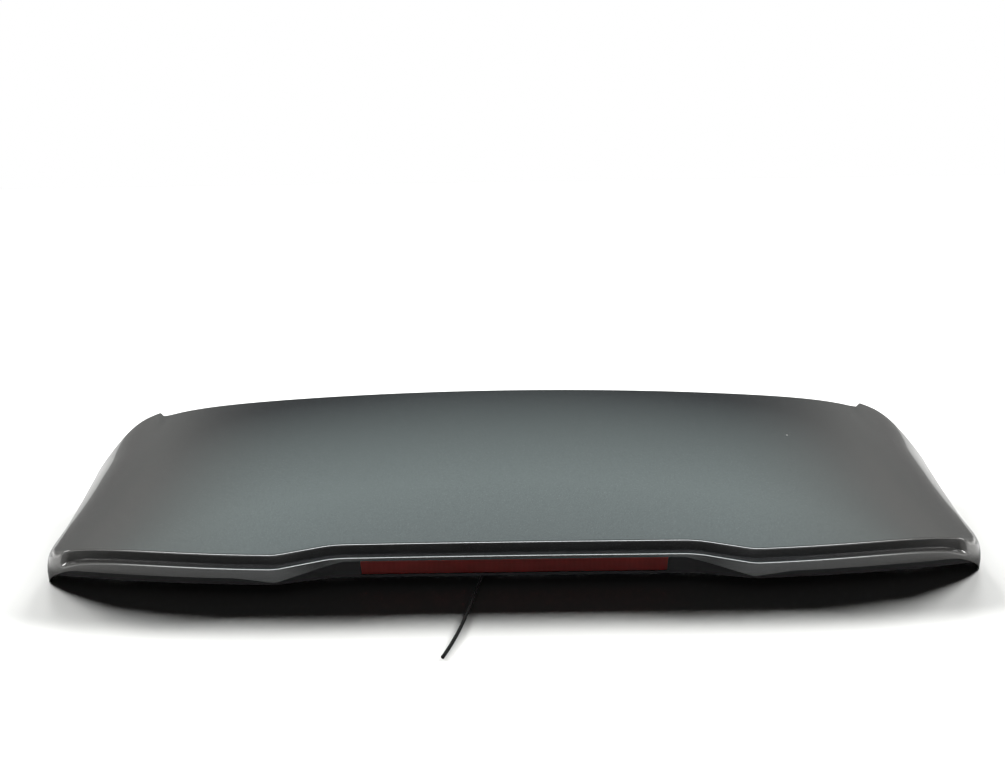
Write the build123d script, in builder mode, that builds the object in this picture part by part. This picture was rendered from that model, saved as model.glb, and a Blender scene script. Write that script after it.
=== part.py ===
"""Rear roof spoiler of a car: painted shell, black lower cover, stop lamp and its lead.

X runs across the car, +Y points to the car's front and +Z points up. The spoiler
lies on its side skirts, with the origin on the floor below the middle of its box.
"""
import os
from math import atan, atan2, cos, radians, sin, tan

from build123d import *

os.makedirs("parts", exist_ok=True)

# Deck and sides
LEAD_Y = 161.5            # leading edge in the middle of the car
LEAD_Z = 141.0
DECK_EDGE_Y = -147.5      # rear edge of the deck in the middle of the car
DECK_EDGE_Z = 57.0
DECK_BOW = 6.0            # how far the centre line rises above a straight line
CREASE_HALF = 593.0       # half width across the shoulder creases at mid depth
CREASE_Z = 45.0
SIDE_FLARE = 0.263        # outward run of the sides for each mm forward
CROWN_SHARE = 0.344       # share of the arch that is a plain parabola
ARCH_POWER = 11.3         # how late and how hard the shoulders fall away
SHOULDER_R = 22.0
SIDE_DRAFT = 12.0         # lean of the skirts, degrees
WALL = 3.0                # thickness of the painted shell

# Stepped rear lip
RECESS_HALF = 218.0       # half width of the straight middle of the rear edge
KINK_X = 284.0            # where the outer rear edge begins
RECESS_DEPTH = 13.8       # from the middle of the rear edge back to the kinks
TIP_X = 548.0             # where the outer rear edge turns into the corner
TIP_SWEEP = 25.5          # from the kinks forward to the tips
LIP_SAG = 4.5             # bow of the outer rear edge
RECESS_R = 60.0
KINK_R = 35.0
LIP_FOOT = 12.0           # how far the lip would stand behind the deck edge on the floor
LIP_LEAN = 0.183          # forward run of the lip for each mm up
LEDGE_DROP = 14.5         # from the deck down to the ledge
CORNER_TURN = 45.0        # turn of the rear corner before it meets the skirt, degrees
CORNER_R = 38.0
CORNER_RUN = 16.0
STEP_RUN = 1.0            # how far the step runs on past the tips

# Lower edge of the lip
BAND_Z = 24.5             # outer stretches
BAND_DIP = 5.5            # how much lower the edge is at the kinks
DIP_RUN = 46.0
DIP_R = 12.0
NOSE_Z = 36.5             # above the lamp
NOSE_HALF = 205.0
TIP_FOOT_X = 572.0        # where the corner comes down to the floor
TIP_CURVE_X = 530.0
TIP_CURVE_LEAN = 14.0

# Front edge
EAR_X = 541.0             # inner end of each ear
EAR_Y = 149.2             # ears and leading edge on the floor, before the lean is added
NOTCH_RUN = 6.0
NOTCH_R = 4.0
EAR_CORNER_X = 587.0
EAR_CORNER_R = 35.0
EAR_RAKE = 59.0           # run of the ear's front edge in plan, degrees
FLANGE = 11.0             # depth of the turned-down flange below the deck's wall
FRONT_CUT_Y = 60.0        # the front is open below its flange from here forward

# Lower cover
COVER_T = 2.6
COVER_FLOOR_Z = 15.0      # underside behind the lamp
FLOOR_END_Y = -106.0
SLOPE_1 = (-70.0, 22.0)   # bends of the underside, Y and Z
SLOPE_2 = (20.0, 52.0)
SLOPE_3 = (100.0, 84.0)
SLOPE_4 = (142.0, 108.0)
UPSTAND_Y = 147.0         # wall that closes the cover behind the front flange
FASCIA_TOP = 30.5
FASCIA_LAP = 1.4          # how far the fascia reaches up behind the lip over the lamp
FASCIA_NOSE_HALF = 240.0
FASCIA_HALF = 560.0
FASCIA_REACH_Y = -100.0
RIB_X = (62.0, 245.0, 345.0, 470.0)
RIB_T = 2.2
RIB_DEPTH = 7.0
DRAIN_X = 330.0
DRAIN_W = 14.0
DRAIN_H = 4.0

# Screws that hold the cover to the shell
SCREW_X = (110.0, 300.0, 490.0)
SCREW_Y = -116.0
SCREW_R = 2.0
SCREW_LENGTH = 16.0
SCREW_HEAD_R = 4.5
SCREW_HEAD = 2.0
BOSS_R = 5.5
DRIVE_W = 1.2             # cross recess in a screw head
DRIVE_LENGTH = 5.4
SCREW_FIT = 0.1           # clearance of a screw in a part that it only passes through

# Mounting studs
INNER_STUD_X = 185.0
OUTER_STUD_X = 405.0
STUD_Y = 86.0
STUD_SEAT_Z = 64.0
STUD_R = 3.0
STUD_LENGTH = 26.0
STUD_CHAMFER = 0.8
STUD_FLANGE_R = 8.5
STUD_FLANGE = 2.5
STUD_ROOT_R = 4.0
STUD_ROOT = 10.0
STUD_FIT = 0.1            # clearance of a stud in its boss
STUD_BOSS_R = 14.0
STUD_BOSS = 24.0
STUD_BOSS_TAPER = 5.0
SEAL_RING_BORE = 9.5
SEAL_RING = 4.0
PEG_X = 300.0             # moulded pins that locate the spoiler on the tailgate
PEG_R = 4.0
PEG_END_Z = 58.0
PEG_TAPER = 3.0

# Stop lamp
LENS_W = 371.0
LENS_H = 17.8
LENS_Z = 27.3
LENS_RAKE = 1.5           # how much shorter the lower edge is at each end
LENS_T = 1.4
LENS_RIM = 2.0
LENS_EDGE_R = 0.8
FLUTE_COUNT = 48
FLUTE_W = 2.0
FLUTE = 0.9
LAMP_FIT = 0.4            # clearance of the lamp in its window
HOUSING_DEPTH = 16.0
HOUSING_T = 2.0
LUG_W = 13.0
LUG_H = 15.0
LUG_T = 3.0
LAMP_SCREW_R = 1.5
LAMP_SCREW_HEAD_R = 3.2
LAMP_SCREW_HEAD = 1.8
LAMP_SCREW_GRIP = 1.4     # length of a lamp screw inside the fascia
BOARD_T = 1.6
BOARD_FIT = 0.3           # clearance of board and reflector in the housing
LED_COUNT = 16
LED_PITCH = 21.5
LED_W = 3.5
LED_T = 1.4
LED_LENS_R = 1.3
LED_LENS_T = 0.7
LED_LENS_SIDES = 8
REFLECTOR_T = 1.0
REFLECTOR_DEPTH = 5.0
WINDOW_W = 15.0
WINDOW_H = 9.0

# Lead of the stop lamp
LEAD_R = 2.0
LEAD_FIT = 0.1            # clearance of the lead in its grommet
BEND_SHARE = 0.45         # part of the shorter run that each bend takes up
LEAD_ROUTE = [
    (-33.0, -85.0, 27.0),
    (-33.0, -85.0, 11.0),
    (-33.2, -91.5, 3.6),
    (-34.8, -103.0, 2.1),
    (-43.6, -152.0, 2.1),
    (-54.4, -206.0, 2.1),
    (-66.6, -257.0, 2.1),
    (-78.2, -286.0, 2.1),
]
GROMMET_R = 8.5
GROMMET_NECK_R = 6.0
GROMMET_LIP = 1.6
PAD_R = 11.0              # flat pad that the grommet sits in
PAD_PROUD = 0.4

# Seals and pads
SEAL_DEPTH = 5.5
SEAL_HALF = 528.0
FOAM_X = (125.0, 296.0, 430.0)
FOAM_W = 60.0
FOAM_H = 14.0
FOAM_T = 5.0

KINK_Y = DECK_EDGE_Y - RECESS_DEPTH
TIP_Y = KINK_Y + TIP_SWEEP
FRONT_Y = LEAD_Y - LIP_LEAN * LEAD_Z
PLAN_MARGIN = 55.0        # how far the plan's sides lie outside the creases
ROUND_SIDES = 12          # sides of the small round bosses, holes and heads
REACH = 260.0             # larger than any height or depth of the spoiler
SPAN = 720.0              # larger than half its width
SECTION_Y = (-210.0, -70.0, 70.0, 210.0)  # where the skin's arches are drawn
ARCH_STEPS = 10           # points on half an arch, closer together towards the shoulder
ARCH_CROWDING = 1.8
SHOULDER_STEPS = 4
SKIRT_RUNS = (12.0, 35.0, 75.0)
INWARD = (0, 1, 0)        # from the lamp's face into the spoiler


def centre_height(y):
    """Height of the deck on the car's centre line."""
    s = (y - DECK_EDGE_Y) / (LEAD_Y - DECK_EDGE_Y)
    return DECK_EDGE_Z + (LEAD_Z - DECK_EDGE_Z) * s + 4 * DECK_BOW * s * (1 - s)


def section(y, inset):
    """Points of one arch across the car, from skirt to skirt, set in by a wall."""
    half = CREASE_HALF + SIDE_FLARE * y
    top = centre_height(y)
    rise = top - CREASE_Z
    right = []
    for step in range(ARCH_STEPS + 1):
        t = 1 - (1 - step / ARCH_STEPS) ** ARCH_CROWDING
        fall = CROWN_SHARE * t**2 + (1 - CROWN_SHARE) * t**ARCH_POWER
        pitch = 2 * CROWN_SHARE * t + (1 - CROWN_SHARE) * ARCH_POWER * t ** (ARCH_POWER - 1)
        a = atan(rise / half * pitch)
        right.append((t * half - inset * sin(a), top - rise * fall - inset * cos(a)))
    wall = radians(90 - SIDE_DRAFT)
    x0 = half - SHOULDER_R * sin(a)
    z0 = CREASE_Z - SHOULDER_R * cos(a)
    for step in range(1, SHOULDER_STEPS + 1):
        b = a + (wall - a) * step / SHOULDER_STEPS
        right.append((x0 + (SHOULDER_R - inset) * sin(b), z0 + (SHOULDER_R - inset) * cos(b)))
    x1, z1 = right[-1]
    for run in SKIRT_RUNS:
        right.append((x1 + run * cos(wall), z1 - run * sin(wall)))
    return [(-x, z) for x, z in reversed(right[1:])] + right


def spacing(points):
    """Share of a polyline's length at each of its points."""
    runs = [0.0]
    for p, q in zip(points, points[1:]):
        runs.append(runs[-1] + ((p[0] - q[0]) ** 2 + (p[1] - q[1]) ** 2) ** 0.5)
    return [run / runs[-1] for run in runs]


def below_skin(inset):
    """Everything under the arched skin, lofted from sections along the car."""
    knots = spacing(section(0, inset))
    with BuildPart() as solid:
        for y in SECTION_Y:
            points = section(y, inset)
            with BuildSketch(Plane.XZ.offset(-y)):
                with BuildLine():
                    add(Edge.make_spline([(x, z, 0) for x, z in points], parameters=knots))
                    foot = points[-1][0]
                    Polyline(points[0], (-foot, -REACH / 2), (foot, -REACH / 2), points[-1])
                make_face()
        loft()
    return solid.part


def at_corner(sketch, x, y):
    """The two mirrored corners of an outline at a given place."""
    return [v for v in sketch.vertices() if abs(abs(v.X) - x) < 0.01 and abs(v.Y - y) < 0.01]


def rear_half(back):
    """Right half of the rear edge, moved back from the deck's edge."""
    y = DECK_EDGE_Y - back
    Polyline((0, y), (RECESS_HALF, y), (KINK_X, KINK_Y - back))
    return SagittaArc((KINK_X, KINK_Y - back), (TIP_X, TIP_Y - back), -LIP_SAG)


def round_rear(sketch, back):
    fillet(at_corner(sketch, RECESS_HALF, DECK_EDGE_Y - back), RECESS_R)
    fillet(at_corner(sketch, KINK_X, KINK_Y - back), KINK_R)


# Plan of the whole spoiler on the floor; its sides lie outside the arched skin
with BuildSketch() as plan:
    with BuildLine():
        with BuildLine() as half_plan:
            edge = rear_half(LIP_FOOT)
            corner = edge @ 1 + (edge % 1) * CORNER_RUN
            outward = (edge % 1).rotate(Axis.Z, CORNER_TURN)
            side = corner + outward * ((CREASE_HALF + PLAN_MARGIN - corner.X) / outward.X)
            ear = (EAR_CORNER_X, EAR_Y)
            ear_side = EAR_Y - (side.X - EAR_CORNER_X) * tan(radians(EAR_RAKE))
            Polyline(edge @ 1, corner, side, (side.X, ear_side), ear, (EAR_X, EAR_Y))
            Polyline((EAR_X, EAR_Y), (EAR_X - NOTCH_RUN, FRONT_Y), (0, FRONT_Y))
        mirror(half_plan.line, about=Plane.YZ)
    make_face()
    round_rear(plan.sketch, LIP_FOOT)
    fillet(at_corner(plan.sketch, corner.X, corner.Y), CORNER_R)
    fillet(at_corner(plan.sketch, *ear), EAR_CORNER_R)
    fillet(at_corner(plan.sketch, EAR_X, EAR_Y), NOTCH_R)
    fillet(at_corner(plan.sketch, EAR_X - NOTCH_RUN, FRONT_Y), NOTCH_R)

# Plan of the space behind the deck's edge, above the ledge
with BuildSketch() as step_plan:
    with BuildLine():
        with BuildLine() as half_step:
            edge = rear_half(0)
            outer = edge @ 1 + (edge % 1) * STEP_RUN
            Polyline(edge @ 1, outer, (outer.X, -REACH), (0, -REACH))
        mirror(half_step.line, about=Plane.YZ)
    make_face()
    round_rear(step_plan.sketch, 0)


def hull(inset):
    """The spoiler's outside as one closed block, set in by a wall."""
    under = below_skin(inset)
    with BuildPart() as step:
        with BuildSketch():
            add(step_plan.sketch)
            if inset:
                offset(amount=inset)
        extrude(amount=REACH)
        add(under.moved(Location((0, 0, -LEDGE_DROP))), mode=Mode.SUBTRACT)
    with BuildPart() as block:
        with BuildSketch():
            add(plan.sketch)
            if inset:
                offset(amount=-inset)
        extrude(amount=REACH, dir=(0, LIP_LEAN, 1))
        add(under, mode=Mode.INTERSECT)
        add(step.part, mode=Mode.SUBTRACT)
    return block.part


cavity = hull(WALL)
cover_core = hull(WALL + COVER_T)
under_flange = below_skin(WALL).moved(Location((0, 0, -FLANGE)))
both_screw_rows = [(side * x, SCREW_Y) for x in SCREW_X for side in (-1, 1)]
cover_top_z = COVER_FLOOR_Z + COVER_T

# Whole wall of the shell, before its openings are cut
with BuildPart() as rind:
    add(hull(0))
    add(cavity, mode=Mode.SUBTRACT)

# Painted shell: the rear face is open below the lip and the front below its flange
with BuildPart() as screw_bosses:
    with BuildSketch(Plane.XY.offset(cover_top_z)):
        with Locations(*both_screw_rows):
            RegularPolygon(BOSS_R, ROUND_SIDES)
            RegularPolygon(SCREW_R, ROUND_SIDES, mode=Mode.SUBTRACT)
    extrude(amount=REACH)
    with BuildSketch(Plane.XY.offset(cover_top_z + SCREW_LENGTH)):
        with Locations(*both_screw_rows):
            RegularPolygon(BOSS_R, ROUND_SIDES)
    extrude(amount=REACH)
    add(cavity, mode=Mode.INTERSECT)

with BuildPart() as rear_opening:
    with BuildSketch(Plane.XZ):
        with BuildLine():
            with BuildLine() as half_edge:
                Polyline((0, -REACH), (TIP_FOOT_X, -REACH), (TIP_FOOT_X, 0))
                Bezier((TIP_FOOT_X, 0), (TIP_FOOT_X - TIP_CURVE_LEAN, BAND_Z), (TIP_CURVE_X, BAND_Z))
                FilletPolyline(
                    (TIP_CURVE_X, BAND_Z),
                    (KINK_X + DIP_RUN, BAND_Z),
                    (KINK_X, BAND_Z - BAND_DIP),
                    (NOSE_HALF, NOSE_Z),
                    (0, NOSE_Z),
                    radius=DIP_R,
                )
            mirror(half_edge.line, about=Plane.YZ)
        make_face()
    extrude(amount=REACH)
    with BuildSketch(Plane.XY.offset(-REACH)):
        with Locations((0, FASCIA_REACH_Y)):
            Rectangle(2 * SPAN, REACH, align=(Align.CENTER, Align.MAX))
    extrude(amount=2 * REACH, mode=Mode.INTERSECT)

with BuildPart() as front_opening:
    with BuildSketch(Plane.XZ.offset(-FRONT_CUT_Y)):
        Rectangle(2 * SPAN, 2 * REACH)
    extrude(amount=-REACH)
    add(under_flange, mode=Mode.INTERSECT)

with BuildPart() as upper_shell:
    add(rind.part)
    add(rear_opening.part, mode=Mode.SUBTRACT)
    add(front_opening.part, mode=Mode.SUBTRACT)
    add(screw_bosses.part)
upper_shell.part.label = "upper_shell"
export_step(upper_shell.part, "parts/upper_shell.step")

# Rubber strip below the front flange
with BuildPart() as leading_edge_seal:
    add(rind.part)
    add(under_flange, mode=Mode.INTERSECT)
    add(under_flange.moved(Location((0, 0, -SEAL_DEPTH))), mode=Mode.SUBTRACT)
    with BuildSketch(Plane.XY.offset(-REACH)):
        with Locations((0, FRONT_CUT_Y)):
            Rectangle(2 * SEAL_HALF, REACH, align=(Align.CENTER, Align.MIN))
    extrude(amount=2 * REACH, mode=Mode.INTERSECT)
leading_edge_seal.part.label = "leading_edge_seal"
export_step(leading_edge_seal.part, "parts/leading_edge_seal.step")


def lamp_plane(depth):
    """Leaning plane at a depth behind the lamp's face, which is flush with the fascia."""
    y = DECK_EDGE_Y - LIP_FOOT + WALL + LIP_LEAN * LENS_Z + depth
    return Plane(origin=(0, y, LENS_Z), x_dir=(1, 0, 0), z_dir=(0, -1, LIP_LEAN))


def lamp_block(grow, start, end):
    """A block with the lens's outline, grown by a margin, between two depths."""
    top = LENS_W / 2 + grow
    low = top - LENS_RAKE
    high = LENS_H / 2 + grow
    with BuildPart() as block:
        with BuildSketch(lamp_plane(start)):
            with BuildLine():
                Polyline((-low, -high), (low, -high), (top, high), (-top, high), close=True)
            make_face()
        extrude(amount=end - start, dir=INWARD)
    return block.part


# Black lower cover with the fascia round the lamp
underside = [(-REACH, COVER_FLOOR_Z), (FLOOR_END_Y, COVER_FLOOR_Z), SLOPE_1, SLOPE_2, SLOPE_3, SLOPE_4]
front_rise = (SLOPE_4[1] - SLOPE_3[1]) / (SLOPE_4[0] - SLOPE_3[0])
upstand_z = SLOPE_4[1] + front_rise * (UPSTAND_Y - SLOPE_4[0])
slope_angle = atan2(SLOPE_3[1] - SLOPE_2[1], SLOPE_3[0] - SLOPE_2[0])
stud_x = (-OUTER_STUD_X, -INNER_STUD_X, INNER_STUD_X, OUTER_STUD_X)
stud_places = [(x, STUD_Y) for x in stud_x]


def underside_z(y):
    """Height of the cover's underside at a place along the car."""
    for (y0, z0), (y1, z1) in zip(underside, underside[1:]):
        if y <= y1:
            return z0 + (z1 - z0) * (y - y0) / (y1 - y0)
    return SLOPE_4[1]


grommet_x, grommet_y = LEAD_ROUTE[0][:2]
grommet_place = (grommet_x, grommet_y)
pad_low = underside_z(grommet_y - PAD_R) - PAD_PROUD
pad_high = underside_z(grommet_y + PAD_R) + COVER_T + PAD_PROUD
lamp_lean = atan(LIP_LEAN)
lug_face = lamp_plane(COVER_T + LUG_T)
lug_grip = LUG_T * cos(lamp_lean)
lug_x = LENS_W / 2 + LUG_W / 2 - HOUSING_T
lug_places = [(-lug_x, 0), (lug_x, 0)]

with BuildPart() as fascia:
    add(cavity)
    add(cover_core, mode=Mode.SUBTRACT)
    with BuildSketch(Plane.XZ.offset(-FASCIA_REACH_Y)):
        with Locations((0, COVER_FLOOR_Z)):
            Rectangle(2 * FASCIA_HALF, FASCIA_TOP - COVER_FLOOR_Z, align=(Align.CENTER, Align.MIN))
            nose_rise = NOSE_Z + FASCIA_LAP - COVER_FLOOR_Z
            Rectangle(2 * FASCIA_NOSE_HALF, nose_rise, align=(Align.CENTER, Align.MIN))
    extrude(amount=REACH, mode=Mode.INTERSECT)

with BuildPart() as ribs:
    with BuildSketch(Plane.YZ):
        with BuildLine():
            low = [(y, z - RIB_DEPTH) for y, z in (SLOPE_2, SLOPE_3)]
            start = (SLOPE_1[0], SLOPE_1[1] + COVER_T / 2)
            end = (SLOPE_4[0], SLOPE_4[1] + COVER_T / 2)
            top = [(y, z + COVER_T / 2) for y, z in (SLOPE_3, SLOPE_2)]
            Polyline(start, *low, (SLOPE_4[0] - RIB_DEPTH, SLOPE_4[1] - RIB_DEPTH), end, *top, close=True)
        make_face()
    extrude(amount=RIB_T / 2, both=True)

with BuildPart() as lower_cover:
    with BuildSketch(Plane.YZ):
        with BuildLine():
            upper = [(y, z + COVER_T) for y, z in reversed(underside)]
            foot = [(UPSTAND_Y + COVER_T, upstand_z), (UPSTAND_Y + COVER_T, REACH)]
            head = [(UPSTAND_Y, REACH), (UPSTAND_Y, upstand_z + COVER_T)]
            Polyline(*underside, *foot, *head, *upper, close=True)
        make_face()
    extrude(amount=SPAN, both=True)
    add(cavity, mode=Mode.INTERSECT)
    add(fascia.part)
    for x in RIB_X:
        for side in (-1, 1):
            add(ribs.part.moved(Location((side * x, 0, 0))))
    with BuildSketch(Plane.XY.offset(STUD_SEAT_Z)):
        with Locations(*stud_places):
            RegularPolygon(STUD_BOSS_R, ROUND_SIDES)
    extrude(amount=STUD_BOSS, taper=-STUD_BOSS_TAPER)
    with BuildSketch(Plane.XY.offset(PEG_END_Z)):
        with Locations((-PEG_X, STUD_Y), (PEG_X, STUD_Y)):
            RegularPolygon(PEG_R, ROUND_SIDES)
    extrude(amount=underside_z(STUD_Y) + COVER_T - PEG_END_Z, taper=-PEG_TAPER)
    with BuildSketch(Plane.XY.offset(pad_low)):
        with Locations(grommet_place):
            RegularPolygon(PAD_R, ROUND_SIDES)
    extrude(amount=pad_high - pad_low)
    for start, radius, depth in (
        (STUD_SEAT_Z, STUD_FLANGE_R, STUD_FLANGE),
        (STUD_SEAT_Z + STUD_FLANGE, STUD_ROOT_R, STUD_ROOT + STUD_FIT),
    ):
        with BuildSketch(Plane.XY.offset(start)):
            with Locations(*stud_places):
                RegularPolygon(radius + STUD_FIT, ROUND_SIDES)
        extrude(amount=depth, mode=Mode.SUBTRACT)
    with BuildSketch(Plane.XY):
        with Locations(grommet_place):
            RegularPolygon(GROMMET_NECK_R, ROUND_SIDES)
        with Locations(*both_screw_rows):
            RegularPolygon(SCREW_R + SCREW_FIT, ROUND_SIDES)
        with Locations((-DRAIN_X, FLOOR_END_Y - DRAIN_H), (DRAIN_X, FLOOR_END_Y - DRAIN_H)):
            SlotOverall(DRAIN_W, DRAIN_H)
    extrude(amount=pad_high, mode=Mode.SUBTRACT)
    add(lamp_block(LAMP_FIT, -COVER_T, 2 * COVER_T), mode=Mode.SUBTRACT)
    with BuildSketch(lug_face):
        with Locations(*lug_places):
            RegularPolygon(LAMP_SCREW_R, ROUND_SIDES)
    extrude(amount=lug_grip + LAMP_SCREW_GRIP, mode=Mode.SUBTRACT)
lower_cover.part.label = "lower_cover"
export_step(lower_cover.part, "parts/lower_cover.step")

# Red lens: a shallow tray with upright flutes inside
with BuildPart() as brake_lamp_lens:
    add(lamp_block(0, 0, COVER_T))
    fillet(brake_lamp_lens.faces().sort_by(Axis.Y)[0].edges(), LENS_EDGE_R)
    add(lamp_block(-LENS_RIM, LENS_T, 2 * COVER_T), mode=Mode.SUBTRACT)
    with BuildSketch(lamp_plane(LENS_T)):
        flute_pitch = (LENS_W - 2 * LENS_RIM - 4 * LENS_RAKE) / FLUTE_COUNT
        with GridLocations(flute_pitch, 0, FLUTE_COUNT, 1):
            Rectangle(FLUTE_W, LENS_H - 2 * LENS_RIM)
    extrude(amount=FLUTE, dir=INWARD)
brake_lamp_lens.part.label = "brake_lamp_lens"
export_step(brake_lamp_lens.part, "parts/brake_lamp_lens.step")

# Black tray behind the lens, held to the fascia by a lug at each end
tray_floor = COVER_T + HOUSING_DEPTH - HOUSING_T
with BuildPart() as brake_lamp_housing:
    add(lamp_block(0, COVER_T, COVER_T + HOUSING_DEPTH))
    with BuildSketch(lamp_plane(COVER_T)):
        with Locations(*lug_places):
            Rectangle(LUG_W, LUG_H)
    extrude(amount=LUG_T, dir=INWARD)
    add(lamp_block(-HOUSING_T, COVER_T, tray_floor), mode=Mode.SUBTRACT)
    with BuildSketch(lug_face):
        with Locations(*lug_places):
            RegularPolygon(LAMP_SCREW_R + SCREW_FIT, ROUND_SIDES)
    extrude(amount=lug_grip, mode=Mode.SUBTRACT)
brake_lamp_housing.part.label = "brake_lamp_housing"
export_step(brake_lamp_housing.part, "parts/brake_lamp_housing.step")

# Circuit board with its light sources, on the floor of the tray
board_margin = -HOUSING_T - BOARD_FIT
board_front = tray_floor - BOARD_T
with BuildPart() as brake_lamp_board:
    add(lamp_block(board_margin, board_front, tray_floor))
brake_lamp_board.part.label = "brake_lamp_board"
export_step(brake_lamp_board.part, "parts/brake_lamp_board.step")

with BuildPart() as brake_lamp_leds:
    with BuildSketch(lamp_plane(board_front - LED_T)):
        with GridLocations(LED_PITCH, 0, LED_COUNT, 1):
            Rectangle(LED_W, LED_W)
    extrude(amount=LED_T, dir=INWARD)
    with BuildSketch(lamp_plane(board_front - LED_T - LED_LENS_T)):
        with GridLocations(LED_PITCH, 0, LED_COUNT, 1):
            RegularPolygon(LED_LENS_R, LED_LENS_SIDES)
    extrude(amount=LED_LENS_T, dir=INWARD)
brake_lamp_leds.part.label = "brake_lamp_leds"
export_step(brake_lamp_leds.part, "parts/brake_lamp_leds.step")

# Bright plate in front of the board, with a window for each light source
reflector_front = board_front - REFLECTOR_DEPTH
with BuildPart() as brake_lamp_reflector:
    add(lamp_block(board_margin, reflector_front, board_front))
    add(
        lamp_block(board_margin - REFLECTOR_T, reflector_front + REFLECTOR_T, board_front),
        mode=Mode.SUBTRACT,
    )
    with BuildSketch(lamp_plane(reflector_front)):
        with GridLocations(LED_PITCH, 0, LED_COUNT, 1):
            Rectangle(WINDOW_W, WINDOW_H)
    extrude(amount=REFLECTOR_DEPTH, dir=INWARD, mode=Mode.SUBTRACT)
brake_lamp_reflector.part.label = "brake_lamp_reflector"
export_step(brake_lamp_reflector.part, "parts/brake_lamp_reflector.step")

# Screws through the lamp's lugs into the fascia
with BuildPart() as brake_lamp_screws:
    with BuildSketch(lug_face):
        with Locations(*lug_places):
            RegularPolygon(LAMP_SCREW_R, ROUND_SIDES)
    extrude(amount=lug_grip + LAMP_SCREW_GRIP)
    with BuildSketch(lug_face):
        with Locations(*lug_places):
            RegularPolygon(LAMP_SCREW_HEAD_R, ROUND_SIDES)
    extrude(amount=-LAMP_SCREW_HEAD)
brake_lamp_screws.part.label = "brake_lamp_screws"
export_step(brake_lamp_screws.part, "parts/brake_lamp_screws.step")

# Cross-head screws under the cover
with BuildPart() as cover_screws:
    with BuildSketch(Plane.XY.offset(COVER_FLOOR_Z - SCREW_HEAD)):
        with Locations(*both_screw_rows):
            RegularPolygon(SCREW_HEAD_R, ROUND_SIDES)
    extrude(amount=SCREW_HEAD)
    with BuildSketch(Plane.XY.offset(COVER_FLOOR_Z)):
        with Locations(*both_screw_rows):
            RegularPolygon(SCREW_R, ROUND_SIDES)
    extrude(amount=COVER_T + SCREW_LENGTH)
    with BuildSketch(Plane.XY.offset(COVER_FLOOR_Z - SCREW_HEAD)):
        with Locations(*both_screw_rows):
            Rectangle(DRIVE_LENGTH, DRIVE_W)
            Rectangle(DRIVE_W, DRIVE_LENGTH)
    extrude(amount=SCREW_HEAD / 2, mode=Mode.SUBTRACT)
cover_screws.part.label = "cover_screws"
export_step(cover_screws.part, "parts/cover_screws.step")


def studs(x):
    """A pair of mounting studs, each with a flange and a root in its boss."""
    places = [(-x, STUD_Y), (x, STUD_Y)]
    with BuildPart() as pair:
        with BuildSketch(Plane.XY.offset(STUD_SEAT_Z - STUD_LENGTH)):
            with Locations(*places):
                Circle(STUD_R)
        extrude(amount=STUD_LENGTH)
        tips = pair.faces().filter_by(Axis.Z).group_by(Axis.Z)[0]
        chamfer(tips.edges(), STUD_CHAMFER)
        for start, radius, length in (
            (STUD_SEAT_Z, STUD_FLANGE_R, STUD_FLANGE),
            (STUD_SEAT_Z + STUD_FLANGE, STUD_ROOT_R, STUD_ROOT),
        ):
            with BuildSketch(Plane.XY.offset(start)):
                with Locations(*places):
                    RegularPolygon(radius, ROUND_SIDES)
            extrude(amount=length)
    return pair


inner_studs = studs(INNER_STUD_X)
inner_studs.part.label = "inner_studs"
export_step(inner_studs.part, "parts/inner_studs.step")
outer_studs = studs(OUTER_STUD_X)
outer_studs.part.label = "outer_studs"
export_step(outer_studs.part, "parts/outer_studs.step")

# Foam rings on the stud bosses
with BuildPart() as stud_seals:
    with BuildSketch(Plane.XY.offset(STUD_SEAT_Z - SEAL_RING)):
        with Locations(*stud_places):
            RegularPolygon(STUD_BOSS_R, ROUND_SIDES)
            RegularPolygon(SEAL_RING_BORE, ROUND_SIDES, mode=Mode.SUBTRACT)
    extrude(amount=SEAL_RING)
stud_seals.part.label = "stud_seals"
export_step(stud_seals.part, "parts/stud_seals.step")

# Foam pads on the sloping underside
foam_y = (SLOPE_2[0] + SLOPE_3[0]) / 2
foam_face = Plane(
    origin=(0, foam_y, underside_z(foam_y)),
    x_dir=(1, 0, 0),
    z_dir=(0, sin(slope_angle), -cos(slope_angle)),
)
with BuildPart() as foam_pads:
    with BuildSketch(foam_face):
        with Locations(*[(side * x, 0) for x in FOAM_X for side in (-1, 1)]):
            Rectangle(FOAM_W, FOAM_H)
    extrude(amount=FOAM_T)
foam_pads.part.label = "foam_pads"
export_step(foam_pads.part, "parts/foam_pads.step")

# Rubber grommet in the cover's pad
with BuildPart() as lead_grommet:
    for start, end, radius in (
        (pad_low - GROMMET_LIP, pad_low, GROMMET_R),
        (pad_low, pad_high, GROMMET_NECK_R),
        (pad_high, pad_high + GROMMET_LIP, GROMMET_R),
    ):
        with BuildSketch(Plane.XY.offset(start)):
            with Locations(grommet_place):
                RegularPolygon(radius, ROUND_SIDES)
                RegularPolygon(LEAD_R + LEAD_FIT, ROUND_SIDES, mode=Mode.SUBTRACT)
        extrude(amount=end - start)
lead_grommet.part.label = "lead_grommet"
export_step(lead_grommet.part, "parts/lead_grommet.step")

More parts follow.
